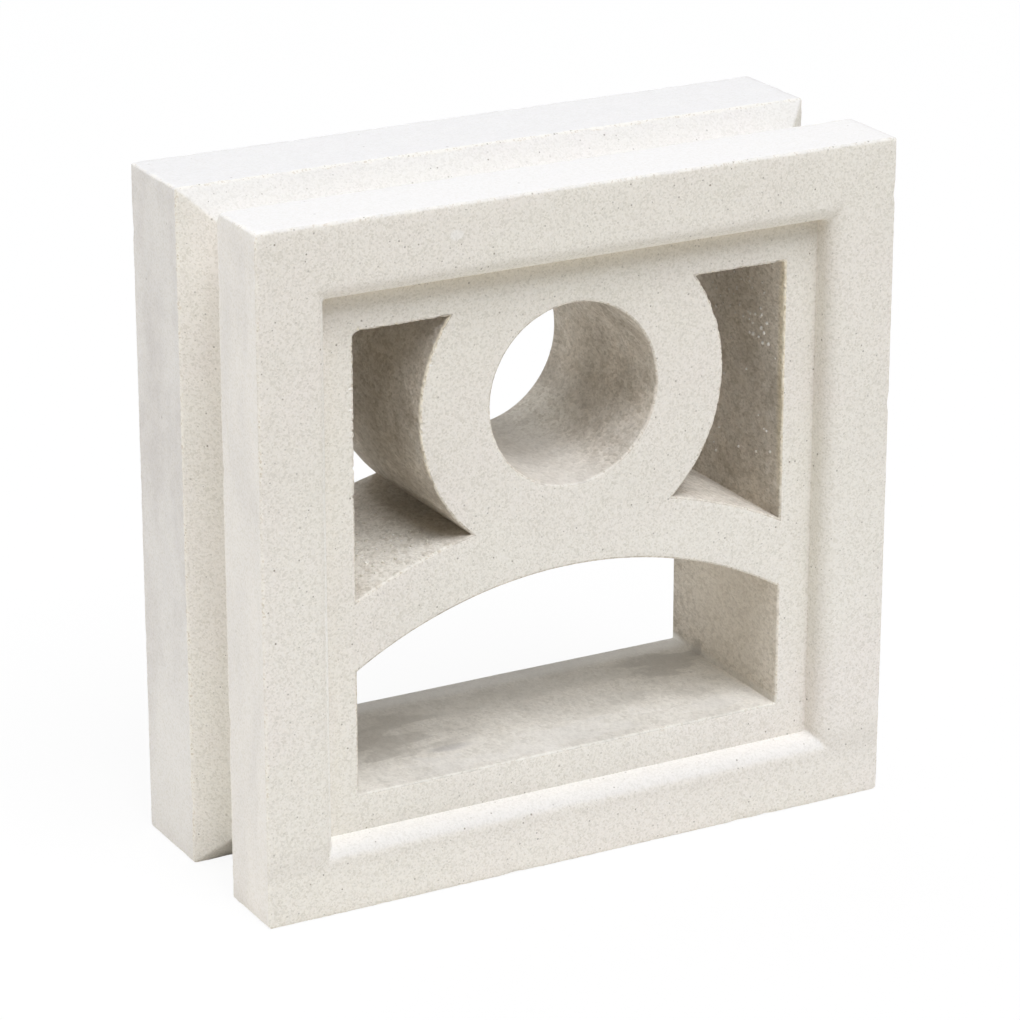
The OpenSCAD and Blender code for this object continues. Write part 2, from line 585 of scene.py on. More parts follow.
def passage_edges(points):
    """Nearness to the front and back edges of the openings, and how grainy those edges are."""
    found = np.zeros(len(points))
    grainy = np.zeros(len(points))
    depth = np.minimum(np.abs(points[:, 1] - FRONT_FIELD_Y), np.abs(points[:, 1] - BACK_FIELD_Y))
    close = np.flatnonzero(depth < EDGE_REACH)
    rise = (points[close, 2] - SOFT_EDGES_BELOW) / (ROUGH_EDGES_ABOVE - SOFT_EDGES_BELOW)
    kept = np.clip(rise, SOFT_ROUGHNESS, 1) * np.where(points[close, 1] > 0, BACK_ROUGHNESS, 1.0)
    for outline, roughness in zip(outlines, OPENING_ROUGHNESS):
        away = outline_distance(points[close], outline)
        nearness = near(np.hypot(depth[close], away), EDGE_REACH)
        found[close] = np.maximum(found[close], nearness)
        grainy[close] = np.maximum(grainy[close], nearness * roughness * kept)
    return found, grainy


frame_nearness = frame_edges(skin_points)
passage_nearness, passage_grain = passage_edges(skin_points)
edge_nearness = np.maximum(frame_nearness, passage_nearness)
for name, values in (("edge_nearness", edge_nearness), ("edge_grain", passage_grain)):
    layer = block.data.attributes.new(name, "FLOAT", "POINT")
    layer.data.foreach_set("value", values)
print("points near an edge:", int((edge_nearness > 0).sum()))

# %% [markdown]
# Now the skin is worn. Broad waves make the faces slightly untrue, grit and lost
# grains make the edges jagged, a few nicks take bites out of them, and knocks sit
# where the real block has lost a corner or a bit of an edge. A displacement
# modifier could do this with a texture, but smooth noise in code gives the same
# result on every run and lets the edges lose more than the faces.

# %% Wear the skin
Pattern = namedtuple("Pattern", "size depth shift")
WAVE = Pattern(45.0, 0.12, Vector((3.1, 7.7, 1.3)))
SWELL = Pattern(13.0, 0.05, Vector((11.9, 2.3, 5.9)))
GRIT = Pattern(2.3, 0.20, Vector((6.7, 13.1, 9.7)))
CRUMBLE = Pattern(0.7, 0.6, Vector((8.3, 5.1, 2.9)))
NICK = Pattern(7.0, 0.9, Vector((1.7, 4.9, 17.3)))
# Levels of the noise at which a loss starts and is full
CRUMBLE_START = -0.2
NICK_START = 0.34
NICK_FULL = 0.75
NICK_CURVE = 1.5
# Millimetres rubbed off an edge, and the shares of the other losses that it takes
FRAME_RUB = 0.14
FRAME_GRIT = 0.7
FRAME_NICK = 0.6
FRAME_CRUMBS = 0.1
PASSAGE_RUB = 0.05
PASSAGE_NICK = 0.5
# Place, reach and depth
KNOCKS = [
    (Vector((-BLOCK_W / 2, FRONT_Y, BLOCK_H)), 3.4, 1.0),
    (Vector((-BLOCK_W / 2, GROOVE_FRONT_Y, BLOCK_H)), 3.0, 0.8),
    (Vector((-80.0, FRONT_Y, BLOCK_H)), 2.6, 0.5),
    (Vector((-44.0, FRONT_FIELD_Y, 119.3)), 2.2, 0.6),
]
SHARP_ANGLE = math.radians(38)


def level(point, pattern):
    """Smooth noise of a pattern at a point, about -1 to 1."""
    return noise.noise(point / pattern.size + pattern.shift)


def knock_depth(point):
    """How much the knocks near a point have taken off."""
    return max(depth * max(1 - (point - place).length / reach, 0.0) for place, reach, depth in KNOCKS)


def wear_depth(point, frame_edge, passage_edge, grainy):
    """How far one point has sunk, in millimetres."""
    waves = sum(p.depth * (0.5 + 0.5 * level(point, p)) for p in (WAVE, SWELL))
    if max(frame_edge, passage_edge) == 0:
        return waves
    grit = GRIT.depth * level(point, GRIT)
    lost = (noise.cell(point / CRUMBLE.size + CRUMBLE.shift) - CRUMBLE_START) / (1 - CRUMBLE_START)
    crumbs = CRUMBLE.depth * max(lost, 0.0)
    bite = (level(point, NICK) - NICK_START) / (NICK_FULL - NICK_START)
    nick = NICK.depth * min(max(bite, 0.0), 1.0) ** NICK_CURVE
    frame_loss = FRAME_RUB + FRAME_GRIT * grit + FRAME_NICK * nick + FRAME_CRUMBS * crumbs
    passage_loss = PASSAGE_RUB * passage_edge + grainy * (grit + PASSAGE_NICK * nick + crumbs)
    return waves + max(frame_edge * frame_loss, passage_loss) + knock_depth(point)


def wear(target, points):
    """Sink every point of the skin along its normal."""
    mesh = target.data
    normals = np.empty(len(points) * 3)
    mesh.vertex_normals.foreach_get("vector", normals)
    edges = zip(points, frame_nearness, passage_nearness, passage_grain)
    sunk = np.array([wear_depth(Vector(point), *nearness) for point, *nearness in edges])
    worn = points - normals.reshape(-1, 3) * sunk[:, None]
    mesh.vertices.foreach_set("co", (worn * MM).ravel())
    mesh.update()
    return sunk


sunk = wear(block, skin_points)
block.data.polygons.foreach_set("use_smooth", [True] * len(block.data.polygons))
block.data.set_sharp_from_angle(angle=SHARP_ANGLE)
triangles = sum(len(face.vertices) - 2 for face in block.data.polygons)
print("wear is", round(sunk.min(), 3), "to", round(sunk.max(), 3), "mm on", triangles, "triangles")

# %% [markdown]
# The worn skin has to stay close to the solid, because the two stand for the same
# block. A search tree over the faces of the solid finds the nearest one to each
# point of the skin.

# %% Compare the skin with the solid
solid_tree = BVHTree.FromObject(solid_block, bpy.context.evaluated_depsgraph_get())
gaps = [solid_tree.find_nearest(v.co)[3] for v in block.data.vertices]
print("skin lies within", round(max(gaps) / MM, 2), "mm of the solid, mean", round(np.mean(gaps) / MM, 3))

# %% [markdown]
# Small beads of cement stick to two walls, where slurry ran into the mould. They
# catch the light on their round tops, so they are made as tiny spheres, a little
# more than half sunk in the wall. Spots in the material would stay as dark as the
# wall around them.

# %% Beads of cement
BEAD_SEED = 11
BEAD_SINK = 0.2
BEAD_SUBDIVISIONS = 2
PALE_BEAD = 0
DARK_BEAD = 1
# Ranges of depth and height, number of beads, and range of their radius
WALL_BEADS = [
    ((-24.0, 9.0), (143.0, 157.0), 32, (0.28, 0.48)),
    ((-27.0, -14.0), (138.0, 147.0), 10, (0.46, 0.66)),
    ((-29.0, 4.0), (98.0, 140.0), 14, (0.28, 0.5)),
]
# Ranges across and of depth, number of beads, range of their radius, and finish
ARCH_BEADS = [
    ((-58.0, -45.0), (-25.0, -8.0), 10, (0.24, 0.36), PALE_BEAD),
    ((-62.0, -40.0), (-27.0, 4.0), 30, (0.3, 0.6), DARK_BEAD),
]


def bead_rows(dice):
    """Place, radius and finish of each bead, on the right wall and on top of the arch."""
    rows = []
    for depths, heights, count, radii in WALL_BEADS:
        for _ in range(count):
            radius = dice.uniform(*radii)
            x = WINDOW_X + BEAD_SINK * radius
            rows.append((Vector((x, dice.uniform(*depths), dice.uniform(*heights))), radius, PALE_BEAD))
    for across, depths, count, radii, finish in ARCH_BEADS:
        for _ in range(count):
            radius = dice.uniform(*radii)
            x = dice.uniform(*across)
            z = ARCH_Z + math.sqrt(ARCH_OUTER_R ** 2 - x ** 2) - BEAD_SINK * radius
            rows.append((Vector((x, dice.uniform(*depths), z)), radius, finish))
    return rows


def bead_object(name):
    """All beads as one mesh of small closed spheres."""
    work = bmesh.new()
    for place, radius, finish in bead_rows(random.Random(BEAD_SEED)):
        there = Matrix.Translation(place * MM)
        sphere = bmesh.ops.create_icosphere(
            work, subdivisions=BEAD_SUBDIVISIONS, radius=radius * MM, matrix=there
        )
        for face in {face for vertex in sphere["verts"] for face in vertex.link_faces}:
            face.material_index = finish
    mesh = bpy.data.meshes.new(name)
    work.to_mesh(mesh)
    work.free()
    mesh.polygons.foreach_set("use_smooth", [True] * len(mesh.polygons))
    made = bpy.data.objects.new(name, mesh)
    scene.collection.objects.link(made)
    return made


beads = bead_object("cement_beads")
print("beads have", len(beads.data.polygons), "triangles")

# %% [markdown]
# The concrete is made of pale cement, sand and a few dark grains. Its materials
# share the same small effects, so each effect is a node group that is built once
# and placed in each material with its own values. A few short helpers keep the
# node code readable. The first ones place single nodes.

# %% Helpers for single nodes
def linear(red, green, blue):
    """A colour given in the 0 to 255 steps of a screen, in Blender's linear values."""
    parts = [c / 255 for c in (red, green, blue)]
    return tuple(p / 12.92 if p <= 0.04045 else ((p + 0.055) / 1.055) ** 2.4 for p in parts) + (1.0,)


def add_node(tree, kind, **settings):
    """A new node, placed in rows so that the tree can be read in the editor."""
    made = tree.nodes.new(kind)
    place = len(tree.nodes)
    made.location = (place % 8 * 220, -(place // 8) * 300)
    for name, value in settings.items():
        setattr(made, name, value)
    return made


def feed(tree, source, socket):
    """Link a socket to another one, or give it a plain value."""
    if isinstance(source, bpy.types.NodeSocket):
        tree.links.new(source, socket)
    else:
        socket.default_value = source


def calculate(tree, operation, first, second=0.0):
    """Result of a Math node."""
    made = add_node(tree, "ShaderNodeMath", operation=operation)
    feed(tree, first, made.inputs[0])
    feed(tree, second, made.inputs[1])
    return made.outputs[0]


def ramp(tree, value, low, high):
    """A value stretched smoothly from a range to the range from 0 to 1."""
    made = add_node(tree, "ShaderNodeMapRange", interpolation_type="SMOOTHSTEP")
    for name, source in (("Value", value), ("From Min", low), ("From Max", high)):
        feed(tree, source, made.inputs[name])
    return made.outputs["Result"]


def part_of(tree, vector, axis):
    """One of the three parts of a vector."""
    parts = add_node(tree, "ShaderNodeSeparateXYZ")
    feed(tree, vector, parts.inputs[0])
    return parts.outputs[axis]


def facing(tree, axis):
    """How far the surface looks along an axis, from -1 to 1."""
    surface = add_node(tree, "ShaderNodeNewGeometry")
    return part_of(tree, surface.outputs["Normal"], axis)


def stretched(tree, coordinates, factors):
    """Coordinates times a factor for each axis. A small factor draws a pattern out."""
    made = add_node(tree, "ShaderNodeVectorMath", operation="MULTIPLY")
    feed(tree, coordinates, made.inputs[0])
    feed(tree, factors, made.inputs[1])
    return made.outputs[0]


def voronoi(tree, coordinates, scale):
    """Distance from the middle of a Voronoi cell, and three random numbers of the cell."""
    cells = add_node(tree, "ShaderNodeTexVoronoi")
    feed(tree, coordinates, cells.inputs["Vector"])
    feed(tree, scale, cells.inputs["Scale"])
    chance = add_node(tree, "ShaderNodeSeparateColor")
    feed(tree, cells.outputs["Color"], chance.inputs[0])
    return cells.outputs["Distance"], chance.outputs


print("a screen grey of 128 is", round(linear(128, 128, 128)[0], 3), "in linear values")

# %% [markdown]
# The next helpers mix colours and deal with groups. Most steps of a finish lay one
# colour over another where a mask shows, so that has a helper of its own.

# %% Helpers for colours and groups
# Numbers of a Mix node's colour sockets, since several of its sockets share a name
MIX_FIRST = 6
MIX_SECOND = 7
MIX_RESULT = 2


def mix(tree, factor, first, second, blend="MIX"):
    """Two colours mixed by a factor."""
    made = add_node(tree, "ShaderNodeMix", data_type="RGBA", blend_type=blend)
    feed(tree, factor, made.inputs[0])
    feed(tree, first, made.inputs[MIX_FIRST])
    feed(tree, second, made.inputs[MIX_SECOND])
    return made.outputs[MIX_RESULT]


def tinted(tree, colour, tint):
    """A colour multiplied by another one."""
    return mix(tree, 1.0, colour, tint, "MULTIPLY")


def laid_over(tree, colour, top, mask, strength):
    """A colour with another one laid over it where a mask shows."""
    return mix(tree, calculate(tree, "MULTIPLY", mask, strength), colour, top)


def new_group(name, inputs, outputs):
    """An empty shader node group with named sockets."""
    group = bpy.data.node_groups.new(name, "ShaderNodeTree")
    for label, kind, value in inputs:
        socket = group.interface.new_socket(label, in_out="INPUT", socket_type="NodeSocket" + kind)
        if value is not None:
            socket.default_value = value
    for label, kind in outputs:
        group.interface.new_socket(label, in_out="OUTPUT", socket_type="NodeSocket" + kind)
    given = add_node(group, "NodeGroupInput").outputs
    wanted = add_node(group, "NodeGroupOutput").inputs
    print("group", name, "gives", [label for label, kind in outputs])
    return group, given, wanted


def place_group(tree, group, **values):
    """A group placed in a material, with its inputs fed by name."""
    made = add_node(tree, "ShaderNodeGroup", node_tree=group)
    for name, source in values.items():
        feed(tree, source, made.inputs[name.replace("_", " ")])
    return made.outputs


# %% [markdown]
# Sand is the finest thing that shows. Each grain is a cell of a Voronoi pattern
# with its own random shade and warmth. The shade is squared, because most grains
# are pale and only some are dark. The distance from the cell's middle gives a
# small round bump. Noise would give soft blotches instead of grains.

# %% Group for sand grains
LEAST_LIFT = 0.35


def build_sand():
    """Shade, warmth and height of sand grains."""
    group, given, wanted = new_group(
        "sand_grains",
        [("Coordinates", "Vector", None), ("Grains per metre", "Float", 2000.0)],
        [("Shade", "Float"), ("Warmth", "Float"), ("Height", "Float")],
    )
    distance, chance = voronoi(group, given["Coordinates"], given["Grains per metre"])
    feed(group, calculate(group, "MULTIPLY", chance[0], chance[0]), wanted["Shade"])
    feed(group, chance[1], wanted["Warmth"])
    round_top = calculate(group, "SUBTRACT", 1.0, distance)
    lift = calculate(group, "ADD", chance[2], LEAST_LIFT)
    feed(group, calculate(group, "MULTIPLY", round_top, lift), wanted["Height"])
    return group


sand_group = build_sand()

# %% [markdown]
# Pores and dark grains are the same kind of mark: small round spots at random
# places, of random size and strength. One group makes them, with their spacing,
# their size and the share of cells that have one.

# %% Group for scattered spots
SMALLEST_SPOT = 0.5
SPOT_CORE = 0.4
FAINTEST_SPOT = 0.15


def build_spots():
    """Mask of small round spots."""
    group, given, wanted = new_group(
        "scattered_spots",
        [
            ("Coordinates", "Vector", None),
            ("Cells per metre", "Float", 250.0),
            ("Size", "Float", 0.1),
            ("Share", "Float", 0.3),
        ],
        [("Mask", "Float")],
    )
    distance, chance = voronoi(group, given["Coordinates"], given["Cells per metre"])
    reach = calculate(group, "MULTIPLY", given["Size"], calculate(group, "ADD", chance[0], SMALLEST_SPOT))
    spot = ramp(group, distance, reach, calculate(group, "MULTIPLY", reach, SPOT_CORE))
    chosen = calculate(group, "LESS_THAN", chance[1], given["Share"])
    squared = calculate(group, "MULTIPLY", chance[2], chance[2])
    strength = calculate(group, "MULTIPLY", squared, 1 - FAINTEST_SPOT)
    strength = calculate(group, "ADD", strength, FAINTEST_SPOT)
    shown = calculate(group, "MULTIPLY", spot, calculate(group, "MULTIPLY", chosen, strength))
    feed(group, shown, wanted["Mask"])
    return group


spot_group = build_spots()

# %% [markdown]
# Cement dries unevenly, so the colour drifts in soft clouds, and damp leaves
# greyer stains inside the openings. Layered noise, bent by its own distortion
# and cut between two levels, gives both.

# %% Group for clouds
CLOUD_DETAIL = 3.0
CLOUD_ROUGHNESS = 0.55


def build_clouds():
    """Mask of soft clouds."""
    group, given, wanted = new_group(
        "cement_clouds",
        [
            ("Coordinates", "Vector", None),
            ("Clouds per metre", "Float", 20.0),
            ("Clear below", "Float", 0.4),
            ("Full above", "Float", 0.65),
            ("Bend", "Float", 0.4),
        ],
        [("Mask", "Float")],
    )
    drift = add_node(group, "ShaderNodeTexNoise")
    drift.inputs["Detail"].default_value = CLOUD_DETAIL
    drift.inputs["Roughness"].default_value = CLOUD_ROUGHNESS
    feed(group, given["Coordinates"], drift.inputs["Vector"])
    feed(group, given["Clouds per metre"], drift.inputs["Scale"])
    feed(group, given["Bend"], drift.inputs["Distortion"])
    feed(group, ramp(group, drift.outputs[0], given["Clear below"], given["Full above"]), wanted["Mask"])
    return group


def clouds(tree, coordinates, per_metre, **levels):
    """Mask of clouds of one size, placed in a material."""
    made = place_group(tree, cloud_group, Coordinates=coordinates, Clouds_per_metre=per_metre, **levels)
    return made["Mask"]


cloud_group = build_clouds()

# %% [markdown]
# Rubbed edges show more sand than cement: pale grains, and a few brown ones. The group reads the nearness
# that was stored on the skin and breaks it up with noise, so that the line is patchy. Where an opening's
# edge has crumbled and looks to the left, a pale fringe along it is a painted highlight.

# %% Group for worn edges and a painted edge highlight
RUBBED = (0.26, 0.46)
BROWN_ABOVE = 0.84
LOOKS_LEFT = (-0.1, -0.5)
CRUMBLED = (0.3, 0.75)


def build_edge_wear_and_highlight():
    """Masks of pale and brown grains along edges, and of a painted highlight on crumbled edges that look
    left.
    """
    group, given, wanted = new_group(
        "edge_wear_and_highlight",
        [("Coordinates", "Vector", None), ("Grain", "Float", 0.5), ("Patches per metre", "Float", 260.0)],
        [("Pale", "Float"), ("Brown", "Float"), ("Left edge highlight", "Float")],
    )
    stored = add_node(group, "ShaderNodeAttribute", attribute_name="edge_nearness")
    crumbled = add_node(group, "ShaderNodeAttribute", attribute_name="edge_grain")
    patches = add_node(group, "ShaderNodeTexNoise")
    feed(group, given["Coordinates"], patches.inputs["Vector"])
    feed(group, given["Patches per metre"], patches.inputs["Scale"])
    patchy = calculate(group, "MULTIPLY", stored.outputs["Fac"], patches.outputs[0])
    rubbed = ramp(group, patchy, *RUBBED)
    brown = calculate(group, "GREATER_THAN", given["Grain"], BROWN_ABOVE)
    not_brown = calculate(group, "SUBTRACT", 1.0, brown)
    looks_left = ramp(group, facing(group, "X"), *LOOKS_LEFT)
    fringe = ramp(group, crumbled.outputs["Fac"], *CRUMBLED)
    feed(group, calculate(group, "MULTIPLY", rubbed, not_brown), wanted["Pale"])
    feed(group, calculate(group, "MULTIPLY", rubbed, brown), wanted["Brown"])
    # Painted highlight where a crumbled edge looks left
    feed(group, calculate(group, "MULTIPLY", fringe, looks_left), wanted["Left edge highlight"])
    return group


edge_group = build_edge_wear_and_highlight()

# %% [markdown]
# Some marks sit at one place only, such as a smear on the floor of the opening.
# A group turns a place and a reach into a soft patch, and noise from the material
# can make its outline ragged. Painting on an image would need texture coordinates,
# and the marks could not be moved by changing one line.

# %% Group for a placed mark
# Value of the noise that leaves the outline of a mark even
EVEN = 0.5
# Shares of the reach at which a mark ends and is full
MARK_FADE = (1.0, 0.3)


def build_mark():
    """Mask of one soft patch."""
    group, given, wanted = new_group(
        "placed_mark",
        [
            ("Coordinates", "Vector", None),
            ("Centre", "Vector", None),
            ("Reach", "Vector", None),
            ("Ragged", "Float", EVEN),
        ],
        [("Mask", "Float")],
    )
    offset = add_node(group, "ShaderNodeVectorMath", operation="SUBTRACT")
    feed(group, given["Coordinates"], offset.inputs[0])
    feed(group, given["Centre"], offset.inputs[1])
    scaled = add_node(group, "ShaderNodeVectorMath", operation="DIVIDE")
    feed(group, offset.outputs[0], scaled.inputs[0])
    feed(group, given["Reach"], scaled.inputs[1])
    size = add_node(group, "ShaderNodeVectorMath", operation="LENGTH")
    feed(group, scaled.outputs[0], size.inputs[0])
    ragged = calculate(group, "SUBTRACT", given["Ragged"], EVEN)
    torn = calculate(group, "ADD", size.outputs["Value"], ragged)
    feed(group, ramp(group, torn, *MARK_FADE), wanted["Mask"])
    return group


mark_group = build_mark()

# %% [markdown]
# Faces that look up get painted light: they are made paler and more neutral, and their grain is hidden, as
# a bright cool light from above shows them. The group reads how far a face is tilted up from its normal,
# so the painted light finds the tops, the lip and the floor.

# %% Group for painted light on faces that look up
def build_upward_light():
    """Mask of the faces that look up."""
    group, given, wanted = new_group(
        "painted_upward_light",
        [("Clear below", "Float", 0.2), ("Full above", "Float", 0.6)],
        [("Mask", "Float")],
    )
    feed(group, ramp(group, facing(group, "Z"), given["Clear below"], given["Full above"]), wanted["Mask"])
    return group


upward_light_group = build_upward_light()

# %% [markdown]
# Three finishes share these groups. The sandy finish is on the face, the fields
# and the groove. The flange sides lay against a smooth mould, so they are greyer
# and finer. The walls of the openings are darker and stained. All three are dull,
# so they start from the same plain shader.

# %% Start a concrete material
SPECULAR = 0.25


def start_material(name, roughness):
    """A material with a Principled shader and object coordinates."""
    material = bpy.data.materials.new(name)
    material.use_nodes = True
    tree = material.node_tree
    shader = tree.nodes["Principled BSDF"]
    shader.inputs["Roughness"].default_value = roughness
    shader.inputs["Specular IOR Level"].default_value = SPECULAR
    coordinates = add_node(tree, "ShaderNodeTexCoord").outputs["Object"]
    print("started", name)
    return material, tree, shader, coordinates


def bump(tree, shader, height, depth):
    """Relief of a given depth in metres, fed to the shader's normal."""
    relief = add_node(tree, "ShaderNodeBump")
    relief.inputs["Distance"].default_value = depth
    feed(tree, height, relief.inputs["Height"])
    feed(tree, relief.outputs[0], shader.inputs["Normal"])


# %% [markdown]
# Every finish is covered in the same order: grains, painted light on the faces that look up, and rubbed
# edges with a painted highlight where they look left. Placed marks and pores go below or above them, as
# each finish needs. The same functions do it for all three, so that the concrete looks like one mix.

# %% Cover a finish
WHITE = linear(255, 255, 255)
COOL_GRAIN = linear(255, 254, 252)
WARM_GRAIN = linear(255, 253, 249)
# Painted light on faces that look up
UPWARD_LIGHT = linear(233, 231, 228)
PALE_GRAIN = linear(245, 240, 226)
PALE_SHARE = 0.4
# Painted highlight on crumbled edges that look left
LEFT_EDGE_HIGHLIGHT = linear(250, 240, 216)
LEFT_EDGE_HIGHLIGHT_SHARE = 0.7
BROWN_GRAIN = linear(196, 176, 144)
BROWN_SHARE = 0.35
PORE = linear(132, 120, 102)


def grained(tree, coordinates, colour, darkest, upward_light_share):
    """A colour broken up by sand grains, painted light on upward faces, rubbed edges and a painted edge
    highlight, and the height of the grains.
    """
    sand = place_group(tree, sand_group, Coordinates=coordinates)
    # The darkest grains are slightly warm
    shade = mix(tree, sand["Shade"], WHITE, linear(darkest, darkest - 1, darkest - 5))
    warmth = mix(tree, sand["Warmth"], COOL_GRAIN, WARM_GRAIN)
    colour = tinted(tree, tinted(tree, colour, warmth), shade)
    # Painted light: faces that look up are made paler and more neutral
    upward_light = place_group(tree, upward_light_group)
    colour = laid_over(tree, colour, UPWARD_LIGHT, upward_light["Mask"], upward_light_share)
    edge = place_group(tree, edge_group, Coordinates=coordinates, Grain=sand["Warmth"])
    colour = laid_over(tree, colour, PALE_GRAIN, edge["Pale"], PALE_SHARE)
    # Painted highlight on crumbled edges that look left
    colour = laid_over(tree, colour, LEFT_EDGE_HIGHLIGHT, edge["Left edge highlight"], LEFT_EDGE_HIGHLIGHT_SHARE)
    colour = laid_over(tree, colour, BROWN_GRAIN, edge["Brown"], BROWN_SHARE)
    return colour, sand["Height"]


def marked(tree, coordinates, colour, ragged, marks):
    """A colour with marks at given places, each with a colour and a strength."""
    for centre, reach, mark_colour, strength in marks:
        mark = place_group(
            tree,
            mark_group,
            Coordinates=coordinates,
            Centre=[c * MM for c in centre],
            Reach=[c * MM for c in reach],
            Ragged=ragged,
        )
        colour = laid_over(tree, colour, mark_colour, mark["Mask"], strength)
    return colour


def pored(tree, coordinates, colour, strength, cells, size, share):
    """A colour with scattered pores."""
    spots = place_group(
        tree, spot_group, Coordinates=coordinates, Cells_per_metre=cells, Size=size, Share=share
    )
    return laid_over(tree, colour, PORE, spots["Mask"], strength)


print("grains run from cool", COOL_GRAIN[:3], "to warm", WARM_GRAIN[:3])

# %% [markdown]
# The face and the fields are pale, slightly rosy and grey in soft clouds, with fine pores. Some tones are
# painted light and shade: a painted shadow on the field below the top bar, painted light that makes the
# face paler towards the lower right, painted shade that makes it darker towards the top, and painted shade
# on the band of the bottom lip. A thin pale line runs down the lip at the left. Such tones lie below the
# grain, and the small marks of the knocks lie above it.

# %% Sandy finish
SANDY = linear(235, 231, 222)
ROSY = linear(236, 230, 223)
GREY_CLOUD = linear(231, 227, 218)
GREY_SHARE = 0.5
# Centre and reach in millimetres, colour and strength
FACE_PAINTED_LIGHT_AND_TONES = [
    # Painted shadow on the field below the top bar
    ((0.0, -31.5, 178.0), (160.0, 7.0, 9.0), linear(220, 208, 184), 0.65),
    # A thin pale line down the lip at the left
    ((-80.3, -37.6, 97.0), (1.7, 2.2, 200.0), linear(254, 253, 250), 0.7),
    # Painted light: the face paler towards the lower right
    ((50.0, -40.0, -10.0), (190.0, 40.0, 130.0), linear(246, 243, 237), 0.35),
    # Painted shade: the face darker towards the top
    ((-20.0, -40.0, 190.0), (220.0, 40.0, 120.0), linear(226, 221, 210), 0.45),
    # Painted shade on the band of the bottom lip, which looks up into the light
    ((0.0, -37.0, 18.0), (400.0, 7.0, 7.0), linear(224, 219, 211), 0.5),
]
FACE_MARKS = [
    ((-79.6, -40.0, 200.0), (2.0, 1.8, 1.4), linear(220, 192, 146), 0.6),
    ((-100.0, -40.0, 200.0), (5.0, 4.0, 5.0), linear(198, 176, 142), 0.35),
    ((-40.5, -40.0, 191.2), (1.8, 1.6, 1.3), linear(242, 240, 236), 0.3),
]


def sandy_concrete():
    """Finish of the face, the fields and the groove."""
    material, tree, shader, where = start_material("sandy_concrete", roughness=0.9)
    rosy = clouds(tree, where, 16.0)
    grey = clouds(tree, where, 31.0, Clear_below=0.45)
    colour = mix(tree, rosy, SANDY, ROSY)
    colour = laid_over(tree, colour, GREY_CLOUD, grey, GREY_SHARE)
    colour = marked(tree, where, colour, EVEN, FACE_PAINTED_LIGHT_AND_TONES)
    colour, height = grained(tree, where, colour, darkest=235, upward_light_share=0.42)
    colour = pored(tree, where, colour, strength=0.9, cells=520.0, size=0.15, share=0.85)
    colour = marked(tree, where, colour, grey, FACE_MARKS)
    feed(tree, colour, shader.inputs["Base Color"])
    bump(tree, shader, height, depth=0.06 * MM)
    return material


sandy = sandy_concrete()
print("made", sandy.name, "with", len(sandy.node_tree.nodes), "nodes")

# %% [markdown]
# The sides of the flanges are smoother than the face, and mottled. The back flange
# is greyer and more mottled than the front one. The mottling is drawn out upwards
# by a small factor on the height.

# %% Smooth finish from the mould
FRONT_FLANGE = linear(238, 234, 228)
BACK_FLANGE = linear(227, 224, 220)
MOTTLE = linear(217, 213, 209)
MOTTLE_STRETCH = (1.0, 1.0, 0.35)
FRONT_MOTTLE = 0.4
BLOOM = linear(236, 233, 228)
BLOOM_SHARE = 0.3
# Depths between which the front flange's tone turns into the back one's
FLANGE_SPLIT = (-12.0 * MM, 8.0 * MM)
# Distances from the middle between which the mottling comes in, at the two sides
SIDE_ONLY = (96.0 * MM, 99.0 * MM)
SIDE_TONES = [
    ((-100.0, 25.0, 0.0), (10.0, 30.0, 90.0), linear(240, 237, 232), 0.6),
]


def moulded_concrete():
    """Finish of the flange sides."""
    material, tree, shader, where = start_material("moulded_concrete", roughness=0.85)
    mottle = clouds(tree, stretched(tree, where, MOTTLE_STRETCH), 60.0)
    bloom = clouds(tree, where, 150.0)
    behind = ramp(tree, part_of(tree, where, "Y"), *FLANGE_SPLIT)
    beside = ramp(tree, calculate(tree, "ABSOLUTE", part_of(tree, where, "X")), *SIDE_ONLY)
    colour = mix(tree, behind, FRONT_FLANGE, BACK_FLANGE)
    strength = calculate(tree, "MULTIPLY", behind, 1 - FRONT_MOTTLE)
    strength = calculate(tree, "ADD", strength, FRONT_MOTTLE)
    colour = laid_over(tree, colour, MOTTLE, mottle, calculate(tree, "MULTIPLY", strength, beside))
    colour = laid_over(tree, colour, BLOOM, bloom, BLOOM_SHARE)
    colour = marked(tree, where, colour, EVEN, SIDE_TONES)
    colour, height = grained(tree, where, colour, darkest=244, upward_light_share=0.45)
    colour = pored(tree, where, colour, strength=0.4, cells=260.0, size=0.1, share=0.25)
    feed(tree, colour, shader.inputs["Base Color"])
    bump(tree, shader, height, depth=0.03 * MM)
    return material


moulded = moulded_concrete()
print("made", moulded.name, "with", len(moulded.node_tree.nodes), "nodes")

# %% [markdown]
# Inside the openings the walls are stained by damp, with paler blotches and coarse sand between the fine
# grains. Tones at given places make single walls and floors lighter or darker. Some are painted light and
# shade: painted shade on the ring's side in the left opening, in the crease where the arch meets the ring
# and across the middle of the lower floor, and painted light on the front of the arch top, low in the
# round hole and on the floors that look up. Others make the right walls lighter and lay a pale band along
# the back of the lower floor, and a few smears lie on the floor.

